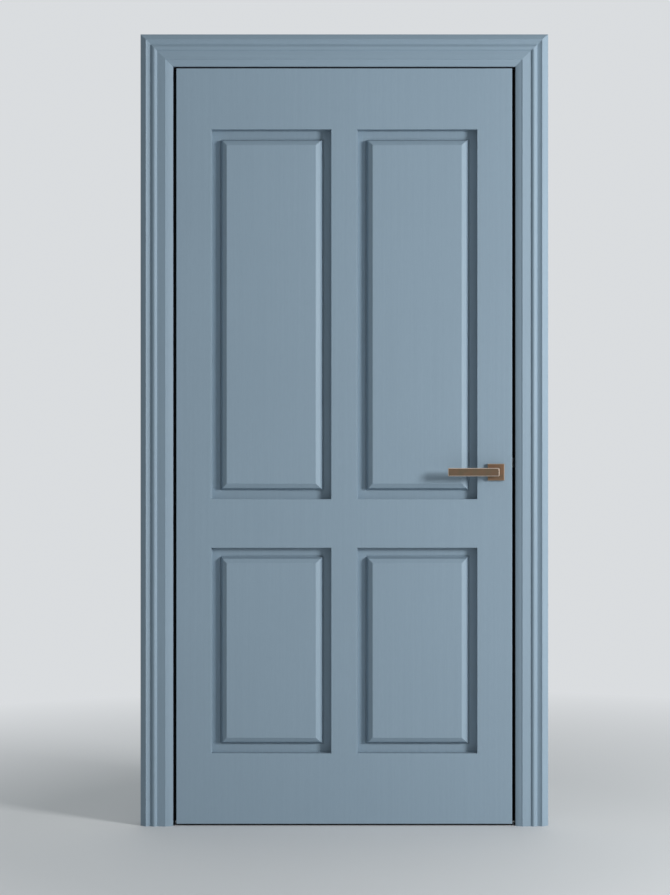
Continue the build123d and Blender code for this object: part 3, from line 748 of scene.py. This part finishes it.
@dataclass
class Casing:
    """Mitred moulding round the opening, on the wall's near side.

    Each part of its section has a width, a rise off the wall and the swell of its curve.
    """

    material: Material
    head_material: Material
    opening_x: float = reach("casing_right", Run.ACROSS)[0]
    opening_z: float = reach("casing_head", Run.UPRIGHT)[0]
    wall_face: float = reach("casing_right", Run.DEEP)[1]
    edge: float = 0.012
    slope: Place = (0.0175, 0.0065, 0.0006)
    step: Place = (0.001, 0.0015, 0.0)
    flat: Place = (0.0235, -0.0045, 0.0)
    bead_rise: Place = (0.007, 0.005, 0.0009)
    bead_fall: Place = (0.010, -0.007, 0.0016)
    cove: Place = (0.013, 0.005, -0.0007)
    outer: Place = (0.0165, -0.0125, 0.0005)
    curve_steps: int = 10
    arris: float = 0.0005

    def section(self) -> list[Point]:
        """Draw the moulding's section.

        Returns:
            Distance out from the opening and off the wall, all the way round.
        """
        outline: list[Point] = [(0.0, 0.0), (0.0, self.edge)]
        for width, rise, swell in (self.slope, self.step, self.flat, self.bead_rise,
                                   self.bead_fall, self.cove, self.outer):
            start = outline[-1]
            end = (start[0] + width, start[1] + rise)
            outline += bow(start, end, swell, self.curve_steps) if swell else [end]
        outline.append((outline[-1][0], 0.0))
        return soften(outline, self.arris, closed=True)

    def mitre(self, side: int) -> list[Vector]:
        """Give the moulding's outline on its left mitre, -1, or its right one, 1."""
        return [Vector((side * (self.opening_x + out), self.wall_face - off, self.opening_z + out))
                for out, off in self.section()]

    def upright(self, side: int) -> Mesh:
        """Build the moulding at the left, -1, or at the right, 1, from the floor to its mitre."""
        mitre = self.mitre(side)
        return skin([[Vector((place.x, place.y, 0.0)) for place in mitre], mitre])

    def build(self) -> None:
        """Stand the three mouldings in place of the plain solids."""
        parts = (("left", self.upright(-1), self.material),
                 ("right", self.upright(1), self.material),
                 ("head", skin([self.mitre(side) for side in SIDES]), self.head_material))
        for name, mesh, material in parts:
            stand(mesh, f"casing_moulding_{name}", "frame", material,
                  (f"casing_{name}",))


@dataclass(frozen=True)
class PanelLayout:
    """Where the leaf's four panels stand."""

    stile_x: float = reach("stile_lock_side", Run.ACROSS)[0]
    mullion_x: float = reach("mullion_upper", Run.ACROSS)[1]
    lower: Point = (reach("bottom_rail", Run.UPRIGHT)[1], reach("lock_rail", Run.UPRIGHT)[0])
    upper: Point = (reach("lock_rail", Run.UPRIGHT)[1], reach("top_rail", Run.UPRIGHT)[0])
    core_half: float = 0.009

    def openings(self) -> dict[str, Opening]:
        """Give each panel's opening.

        Returns:
            Left, right, bottom and top by the panel's name.
        """
        left = (-self.stile_x, -self.mullion_x)
        right = (self.mullion_x, self.stile_x)
        return {
            "panel_upper_left": left + self.upper,
            "panel_upper_right": right + self.upper,
            "panel_lower_left": left + self.lower,
            "panel_lower_right": right + self.lower,
        }


def opening_ring(opening: Opening, inset: float, depth: float) -> list[Vector]:
    """Corners of a ring that runs round a panel's opening.

    Args:
        opening: left, right, bottom and top of the opening.
        inset: how far the ring lies inside the opening's edge, negative for outside.
        depth: its place from the leaf's near side to its far side.

    Returns:
        Its four corners in order.
    """
    left, right, bottom, top = opening
    corners = oblong((left + inset, bottom + inset), (right - inset, top - inset))
    return [Vector((x, depth, z)) for x, z in corners]


@dataclass
class RaisedPanels:
    """Four panels with a quirk, a steep shoulder and a bevelled field on both faces."""

    material: Material
    layout: PanelLayout
    tongue: float = 0.011
    margin: float = 0.0245
    quirk_width: float = 0.003
    quirk_depth: float = 0.002
    shoulder: Point = (0.0055, 0.0155)
    bevel: Point = (0.012, 0.008)
    field_border: float = 0.02
    arris: float = 0.0009
    arris_steps: int = 4

    def section(self) -> list[Point]:
        """Draw one face from the field to the tongue.

        Returns:
            Distance in from the opening's edge and height from the panel's middle.
        """
        core = self.layout.core_half
        shoulder = (self.margin + self.shoulder[0], core + self.shoulder[1])
        field = (shoulder[0] + self.bevel[0], shoulder[1] + self.bevel[1])
        quirk = self.margin - self.quirk_width
        outline = [
            (field[0] + self.field_border, field[1]),
            field,
            shoulder,
            (self.margin, core),
            (self.margin, core - self.quirk_depth),
            (quirk, core - self.quirk_depth),
            (quirk, core),
            (-self.tongue, core),
        ]
        return soften(outline, self.arris, self.arris_steps)

    def panel(self, opening: Opening) -> Mesh:
        """Build one panel in its opening, from its near face to its far one."""
        rings = [(inset, -height) for inset, height in self.section()] + self.section()[::-1]
        return skin([opening_ring(opening, inset, depth) for inset, depth in rings])

    def build(self) -> None:
        """Stand the four panels in place of the plain solids."""
        for name, opening in self.layout.openings().items():
            stand(self.panel(opening), f"raised_{name}", "leaf", self.material,
                  (name,))


@dataclass
class LeafBoards:
    """Stiles, rails and mullions, glued up, eased along every arris and painted as one."""

    material: Material
    layout: PanelLayout
    half_width: float = reach("faceplate", Run.ACROSS)[1]
    bottom: float = reach("stile_lock_side", Run.UPRIGHT)[0]
    top: float = reach("lip_seal_left", Run.UPRIGHT)[1]
    half_thickness: float = reach("lock_rail", Run.DEEP)[1]
    lip_x: float = reach("stile_lock_side", Run.ACROSS)[1]
    lip_z: float = reach("top_rail", Run.UPRIGHT)[1]
    lip_thickness: float = 0.026
    outer_arris: float = 0.0015
    inner_arris: float = 0.0009
    groove_depth: float = 0.012
    play: float = 0.0002
    past: float = 0.001
    hinge_plate: float = 0.0025
    faceplate_corner: float = 0.006
    corner_steps: int = 6
    mortise_play: float = 0.0005
    spindle_hole: float = 0.010
    members: tuple[str, ...] = ("stile_hinge_side", "stile_lock_side", "top_rail", "lock_rail",
                                "bottom_rail", "mullion_upper", "mullion_lower")

    def lines(self, out: Point) -> tuple[list[float], list[float]]:
        """Give the upright and level lines on which a face's corners lie.

        Args:
            out: how far its sides and its top stand out from the leaf's near size.

        Returns:
            Places of the upright lines and heights of the level ones.
        """
        arris = self.inner_arris
        place = self.layout
        right = [place.mullion_x - arris, place.stile_x + arris, self.half_width + out[0]]
        heights = [self.bottom, place.lower[0] - arris, place.lower[1] + arris,
                   place.upper[0] - arris, place.upper[1] + arris, self.top + out[1]]
        return [-x for x in reversed(right)] + right, heights

    def face(self, mesh: Mesh, depth: float, out: Point) -> None:
        """Lay one face of the leaf, with its four openings.

        Args:
            mesh: the mesh to add to.
            depth: place of the face from near to far.
            out: how far its sides and its top stand out from the leaf's near size.
        """
        columns, rows = self.lines(out)
        grid = [[mesh.verts.new((x, depth, z)) for z in rows] for x in columns]
        for i in range(len(columns) - 1):
            for j in range(len(rows) - 1):
                if i % 2 == 0 or j % 2 == 0:  # the openings lie where both are odd
                    mesh.faces.new((grid[i][j], grid[i + 1][j], grid[i + 1][j + 1],
                                    grid[i][j + 1]))

    def edge_section(self, lip: float) -> list[Point]:
        """Draw the leaf's edge with its lip.

        Args:
            lip: how far the lip stands out.

        Returns:
            Distance out from the near edge and place from near to far.
        """
        half = self.half_thickness
        arris = self.outer_arris
        lip_face = half - self.lip_thickness
        near = ease((-arris, -half), (0.0, -half), (0.0, arris - half))
        corner = ease((lip - arris / 2, lip_face), (lip, lip_face), (lip, lip_face + arris / 2))
        far = ease((lip, half - arris), (lip, half), (lip - arris, half))
        return near + [(0.0, lip_face)] + corner + far

    def rim(self, mesh: Mesh) -> None:
        """Run the edge up the left side, across the top and down the right side.

        Args:
            mesh: the mesh to add to.
        """
        columns, heights = self.lines((0.0, 0.0))
        loops = []
        for (side_out, depth), (top_out, _) in zip(self.edge_section(self.lip_x - self.half_width),
                                                   self.edge_section(self.lip_z - self.top)):
            side = self.half_width + side_out
            top = self.top + top_out
            path = [(-side, z) for z in heights[:-1]] + [(-side, top)]
            path += [(x, top) for x in columns[1:-1]]
            path += [(side, top)] + [(side, z) for z in reversed(heights[:-1])]
            loops.append([mesh.verts.new((x, depth, z)) for x, z in path])
        join_loops(mesh, loops, closed=False)

    def wells(self, mesh: Mesh) -> None:
        """Line the four openings, with the groove that holds the panel.

        Args:
            mesh: the mesh to add to.
        """
        half = self.half_thickness
        arris = self.inner_arris
        groove = self.layout.core_half + self.play
        depth = self.groove_depth
        section = ease((-arris, -half), (0.0, -half), (0.0, arris - half))
        section += [(0.0, -groove), (-depth, -groove), (-depth, groove), (0.0, groove)]
        section += ease((0.0, half - arris), (0.0, half), (-arris, half))
        for opening in self.layout.openings().values():
            loops = [[mesh.verts.new(point) for point in opening_ring(opening, inset, place)]
                     for inset, place in section]
            join_loops(mesh, loops, closed=True)

    def side_outline(self, near: str, far: str, play: float) -> list[Point]:
        """Draw the outline, seen from the leaf's edge, of what holds one or two solids.

        Args:
            near: the solid nearest to the leaf's near side.
            far: the solid nearest to its far side.
            play: gap round them.

        Returns:
            Corners as place from near to far and height.
        """
        low, high = reach(near, Run.UPRIGHT)
        return oblong((reach(near, Run.DEEP)[0] - play, low - play),
                      (reach(far, Run.DEEP)[1] + play, high + play))

    def hinge_recess(self, number: int) -> Mesh:
        """Shape the recess for one hinge, open at the leaf's far side and edge.

        Args:
            number: the hinge's number.

        Returns:
            Closed mesh to cut away.
        """
        plate = f"hinge_leaf_half_{number}"
        low, high = reach(plate, Run.UPRIGHT)
        section = oblong((reach(plate, Run.DEEP)[0] - self.play, low - self.play),
                         (self.half_thickness + self.past, high + self.play))
        return bar(section, Run.ACROSS, -self.lip_x - self.past,
                   -self.lip_x + self.hinge_plate + self.play)

    def recesses(self) -> list[Mesh]:
        """Shape the recesses for hinges and faceplate, the lock's mortise and the spindle's hole.

        Returns:
            Closed meshes to cut away.
        """
        outside = self.half_width + self.past
        face = self.half_thickness + self.past
        plate = soften(self.side_outline("faceplate", "faceplate", self.play),
                       self.faceplate_corner, self.corner_steps, closed=True)
        mortise = self.side_outline("lock_case", "lock_cover", self.mortise_play)
        hole = circle((middle("spindle", Run.ACROSS), middle("spindle", Run.UPRIGHT)),
                      self.spindle_hole)
        return [*(self.hinge_recess(number) for number in HINGES),
                bar(plate, Run.ACROSS, reach("faceplate", Run.ACROSS)[0] - self.play, outside),
                bar(mortise, Run.ACROSS, reach("lock_case", Run.ACROSS)[0] - self.mortise_play,
                    outside),
                bar(hole, Run.DEEP, -face, face)]

    def build(self) -> None:
        """Stand the boards in place of the plain members."""
        mesh = bmesh.new()
        arris = self.outer_arris
        self.face(mesh, -self.half_thickness, (-arris, -arris))
        self.face(mesh, self.half_thickness,
                  (self.lip_x - self.half_width - arris, self.lip_z - self.top - arris))
        self.rim(mesh)
        self.wells(mesh)
        bmesh.ops.remove_doubles(mesh, verts=mesh.verts[:], dist=SAME_PLACE)
        bmesh.ops.holes_fill(mesh, edges=[edge for edge in mesh.edges if edge.is_boundary], sides=0)
        bmesh.ops.recalc_face_normals(mesh, faces=mesh.faces[:])
        stand(carve(mesh, self.recesses()), "leaf_boards", "leaf", self.material,
              self.members)


@dataclass
class FrameMembers:
    """Jambs and head, whose solids keep their shape."""

    upright: Material
    level: Material

    def build(self) -> None:
        """Paint the members along their grain."""
        dress(["jamb_hinge_side", "jamb_lock_side"], self.upright)
        dress(["frame_head"], self.level)


@dataclass
class Seals:
    """Rubber in the gap, on the lip and under the leaf; the near-black front seals in the gap are
    partly painted shade that darkens the gap round the leaf.
    """

    upright: Material
    level: Material

    def build(self) -> None:
        """Give the seals their rubber."""
        dress(["front_seal_left", "front_seal_right", "lip_seal_left", "lip_seal_right"],
              self.upright)
        dress(["front_seal_head", "lip_seal_top", "bottom_seal"], self.level)


@dataclass(frozen=True)
class Screw:
    """Steel screw of which the head shows.

    Its sections run from the shank to the bottom of the recess. Each point has its share of the
    radius, or None for the recess's outline, and its height.
    """

    radius: float
    head: Head
    domed: Profile = ((0.97, -0.0001), (1.0, 0.0001), (0.96, 0.00022), (0.86, 0.00042),
                      (0.72, 0.00058), (0.60, 0.00066), (None, 0.00068), (None, 0.00010))
    level: Profile = ((0.86, -0.0020), (1.0, -0.0004), (0.94, 0.0), (0.72, 0.00008),
                      (None, 0.00006), (None, -0.0012))
    hexagon: float = 0.5
    cross_core: float = 0.14
    cross_arm: float = 0.42
    cross_sharpness: int = 6

    def recess(self, angle: float) -> float:
        """Give the recess's radius: a hexagon in a grub screw, and a cross in any other.

        Args:
            angle: direction from the screw's middle.

        Returns:
            Its radius in that direction.
        """
        if self.head is Head.GRUB:
            from_flat = (angle + math.pi / 6) % (math.pi / 3) - math.pi / 6
            return self.hexagon * self.radius / math.cos(from_flat)
        arm = self.cross_arm * abs(math.cos(2 * angle)) ** self.cross_sharpness
        return self.radius * (self.cross_core + arm)

    def mesh(self, centre: Vector, out: Vector) -> Mesh:
        """Build the screw.

        Args:
            centre: middle of its head, level with the plate.
            out: direction that its head faces.

        Returns:
            Its mesh.
        """
        side = out.orthogonal().normalized()
        up = out.cross(side)
        rings = []
        for share, height in self.domed if self.head is Head.RAISED else self.level:
            ring = []
            for step in range(ROUND):
                angle = 2 * math.pi * step / ROUND
                radius = self.recess(angle) if share is None else self.radius * share
                ring.append(centre + out * (height - self.head.value)
                            + (side * math.cos(angle) + up * math.sin(angle)) * radius)
            rings.append(ring)
        return skin(rings)

    def drive(self, name: str, body: str, centre: Place, out: Place, steel: Material) -> None:
        """Put one screw in its place."""
        stand(self.mesh(Vector(centre), Vector(out)), name, body, steel)


@dataclass
class HingeSet:
    """Three butt hinges with their raised screws."""

    steel: Material
    screw_spacing: float = 0.035
    frame_face: float = reach("frame_head", Run.ACROSS)[0]
    leaf_face: float = reach("stile_hinge_side", Run.ACROSS)[0]
    plate_edges: Point = (reach("hinge_leaf_half_1", Run.DEEP)[0],
                          reach("stile_hinge_side", Run.DEEP)[1])
    screw: Screw = Screw(0.0042, Head.RAISED)

    def build(self) -> None:
        """Dress the hinges and drive their screws."""
        y = sum(self.plate_edges) / 2
        for number in HINGES:
            dress([f"hinge_frame_half_{number}", f"hinge_leaf_half_{number}",
                   f"hinge_pin_{number}"], self.steel)
            for place, offset in enumerate((-1, 0, 1), start=1):
                z = middle(f"hinge_leaf_half_{number}", Run.UPRIGHT) + offset * self.screw_spacing
                for body, x, out in (("frame", self.frame_face, 1), ("leaf", self.leaf_face, -1)):
                    self.screw.drive(f"hinge_screw_{body}_{number}_{place}", body, (x, y, z),
                                     (out, 0, 0), self.steel)


@dataclass
class LockSet:
    """Latch lock with its spring, its faceplate and the strike plate, with their screws."""

    steel: Material
    screw_y: float = middle("faceplate", Run.DEEP)
    faceplate_x: float = reach("faceplate", Run.ACROSS)[1]
    strike_x: float = reach("strike_plate", Run.ACROSS)[0]
    screw_inset: float = 0.012
    screw: Screw = Screw(0.00215, Head.FLUSH)
    spring_thickness: float = 0.0008
    latch_travel: float = 0.018

    def fit_spring(self) -> None:
        """Shape the latch's hairpin spring in place of its plain solid."""
        back, front = reach("latch_spring", Run.ACROSS)
        foot, top = reach("latch_spring", Run.UPRIGHT)
        radius = (front - back) / 2
        centre = ((back + front) / 2, top - radius)
        inside = half_circle(centre, radius - self.spring_thickness)
        strip = [(back, foot), *half_circle(centre, radius), (front, foot),
                 (front - self.spring_thickness, foot), *reversed(inside),
                 (back + self.spring_thickness, foot)]
        piece = stand(bar(strip, Run.DEEP, *reach("latch_spring", Run.DEEP)), "hairpin_spring",
                      "leaf", self.steel, ("latch_spring",))
        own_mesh(piece)

    def fix_plate(self, plate: str, screw: str, body: str, x: float, out: int) -> None:
        """Drive a plate's two screws.

        Args:
            plate: the plate's solid.
            screw: name of its screws, without their number.
            body: moving body that they ride on.
            x: place of the plate's face.
            out: 1 where the face looks to the right, -1 where it looks to the left.
        """
        low, high = reach(plate, Run.UPRIGHT)
        for place, z in enumerate((low + self.screw_inset, high - self.screw_inset), start=1):
            self.screw.drive(f"{screw}_{place}", body, (x, self.screw_y, z), (out, 0, 0),
                             self.steel)

    def build(self) -> None:
        """Dress the lock, fit its spring and drive its screws."""
        dress(["lock_case", "lock_cover", "faceplate", "follower", "latch_bolt", "strike_plate",
               "spindle"], self.steel)
        self.fit_spring()
        self.fix_plate("faceplate", "faceplate_screw", "leaf", self.faceplate_x, 1)
        self.fix_plate("strike_plate", "strike_screw", "frame", self.strike_x, -1)


@dataclass
class HandleSet:
    """Levers, square roses and the grub screws that hold the levers on the spindle."""

    lever_bronze: Material
    rose_bronze: Material
    nylon: Material
    steel: Material
    axis: Point = (middle("spindle", Run.ACROSS), middle("spindle", Run.UPRIGHT))
    spindle_end: float = reach("spindle", Run.DEEP)[1]
    grub_setback: float = 0.007
    neck_half: float = 0.010
    screw: Screw = Screw(0.00245, Head.GRUB)

    def build(self) -> None:
        """Dress the handle set and turn its grub screws in."""
        for kind, material in (("lever", self.lever_bronze), ("rose", self.rose_bronze),
                               ("rose_base", self.nylon)):
            dress([f"{kind}_near", f"{kind}_far"], material)
        for name, side in zip(("near", "far"), SIDES):
            centre = (self.axis[0], side * (self.spindle_end - self.grub_setback),
                      self.axis[1] - self.neck_half)
            self.screw.drive(f"grub_screw_{name}", "handle", centre, (0, 0, -1), self.steel)


# Studio


@dataclass
class Studio:
    """Pale floor, soft lamp from the right, even fill and the camera."""

    floor_colour: Colour = (0.64, 0.65, 0.66)
    floor_patches: Noise = (0.6, 3.0)
    floor_tones: Point = (0.99, 1.01)
    floor_roughness: float = 0.7
    floor_radius: float = 40.0
    floor_sides: int = 96
    fade: Ramp = Ramp(0.9, 2.9)
    background: Colour = (0.70, 0.72, 0.74)
    lamp_place: Place = (4.16, -2.94, 1.88)
    lamp_aim: Place = (0.1, 0.0, 1.0)
    lamp_size: float = 1.0
    lamp_power: float = 246.0
    fill: Ramp = Ramp(-1.0, 1.0, 0.314, 0.412)
    fill_behind: Ramp = Ramp(0.0, 1.0, 0.0, 0.45)
    fill_colour: Colour = (0.96, 1.02, 1.04)
    camera_place: Place = (0.3377, -4.834, 0.970)
    lens: float = 71.5
    shift: Point = (-0.150, 0.0215)

    def floor(self) -> None:
        """Lay a floor that keeps shadows and fades into the background away from the door."""
        mesh = bmesh.new()
        bmesh.ops.create_circle(mesh, cap_ends=True, radius=self.floor_radius,
                                segments=self.floor_sides)
        data = bpy.data.meshes.new("floor")
        mesh.to_mesh(data)
        mesh.free()
        recipe = Recipe("pale_floor")
        low, high = (shade(self.floor_colour, tone) for tone in self.floor_tones)
        tone = recipe.blend(recipe.cloud(self.floor_patches), low, high)
        glow = recipe.add("Emission", {"Color": shade(self.background), "Strength": 1.0})
        distance = recipe.add("VectorMath", {0: recipe.place}, operation="LENGTH")
        fade = recipe.span(distance.outputs["Value"], self.fade)
        mix = recipe.add("MixShader", {0: recipe.both("MULTIPLY", fade, recipe.looked_at()),
                                       1: recipe.shader.outputs[0], 2: glow.outputs[0]})
        recipe.feed(recipe.output, {"Surface": mix.outputs[0]})
        finish = recipe.finish({"Base Color": tone, "Roughness": self.floor_roughness})
        data.materials.append(finish)
        floor = bpy.data.objects.new("floor", data)
        bpy.context.scene.collection.objects.link(floor)

    def lamp(self) -> None:
        """Hang the soft lamp."""
        lamp = bpy.data.lights.new("soft_lamp", "AREA")
        lamp.shape = "SQUARE"
        lamp.size = self.lamp_size
        lamp.energy = self.lamp_power
        holder = bpy.data.objects.new("soft_lamp", lamp)
        holder.location = self.lamp_place
        aim = Vector(self.lamp_aim) - Vector(self.lamp_place)
        holder.rotation_euler = aim.to_track_quat("-Z", "Y").to_euler()
        bpy.context.scene.collection.objects.link(holder)

    def surroundings(self) -> None:
        """Fill the room with soft light, more from the right and from behind the door."""
        world = bpy.data.worlds.new("studio")
        recipe = Recipe("surroundings", world)
        facing = recipe.add("SeparateXYZ", {0: recipe.add("TexCoord").outputs["Generated"]}).outputs
        strength = recipe.both("ADD", recipe.span(facing[0], self.fill),
                               recipe.span(facing[1], self.fill_behind))
        fill = recipe.add("Background", {"Color": (*self.fill_colour, 1.0), "Strength": strength})
        seen = recipe.add("Background", {"Color": shade(self.background), "Strength": 1.0})
        mix = recipe.add("MixShader", {0: recipe.looked_at(), 1: fill.outputs[0],
                                       2: seen.outputs[0]})
        recipe.add("OutputWorld", {"Surface": mix.outputs[0]})
        bpy.context.scene.world = world

    def camera(self) -> None:
        """Set up the camera square to the door, a little to its right."""
        data = bpy.data.cameras.new("camera")
        data.lens = self.lens
        data.shift_x, data.shift_y = self.shift
        camera = bpy.data.objects.new("camera", data)
        camera.location = self.camera_place
        camera.rotation_euler = (math.pi / 2, 0.0, 0.0)
        bpy.context.scene.collection.objects.link(camera)
        bpy.context.scene.camera = camera
        bpy.context.scene.view_settings.view_transform = "Standard"

    def build(self) -> None:
        """Set up the floor, the lamp, the soft light all round and the camera."""
        self.floor()
        self.lamp()
        self.surroundings()
        self.camera()


def main() -> None:
    """Build the door's looks, piece by piece."""
    logging.basicConfig(level=logging.INFO, format="%(name)s: %(message)s")
    upright_paint = PaintedWood(Run.UPRIGHT).material()
    level_paint = PaintedWood(Run.ACROSS).material()
    upright_rubber = SealRubber(Run.UPRIGHT).material()
    level_rubber = SealRubber(Run.ACROSS).material()
    nylon = MouldedNylon().material()
    steel = BrushedMetal("satin_steel", Run.UPRIGHT, colour=(0.55, 0.55, 0.54),
                         tarnish=(0.49, 0.49, 0.48), rubbed_and_highlight=(0.70, 0.70, 0.69),
                         roughness=0.34).material()
    lever_bronze = BrushedMetal("brushed_bronze", Run.ACROSS, colour=(0.152, 0.095, 0.058),
                                tarnish=(0.110, 0.086, 0.053), rubbed_and_highlight=(0.66, 0.54, 0.45),
                                roughness=0.40, metallic=0.60).material()
    rose_bronze = BrushedMetal("brushed_bronze", Run.UPRIGHT, colour=(0.192, 0.106, 0.062),
                               tarnish=(0.105, 0.088, 0.054), rubbed_and_highlight=(0.40, 0.29, 0.19),
                               roughness=0.38, metallic=0.50, handled=(0.020, 3.0)).material()
    layout = PanelLayout()

    for assembly in (Casing(upright_paint, level_paint), RaisedPanels(upright_paint, layout),
                     LeafBoards(upright_paint, layout), FrameMembers(upright_paint, level_paint),
                     Seals(upright_rubber, level_rubber), HingeSet(steel), LockSet(steel),
                     HandleSet(lever_bronze, rose_bronze, nylon, steel), Studio()):
        assembly.build()
        log.info("%s built", type(assembly).__name__)


if __name__ == "__main__":
    main()
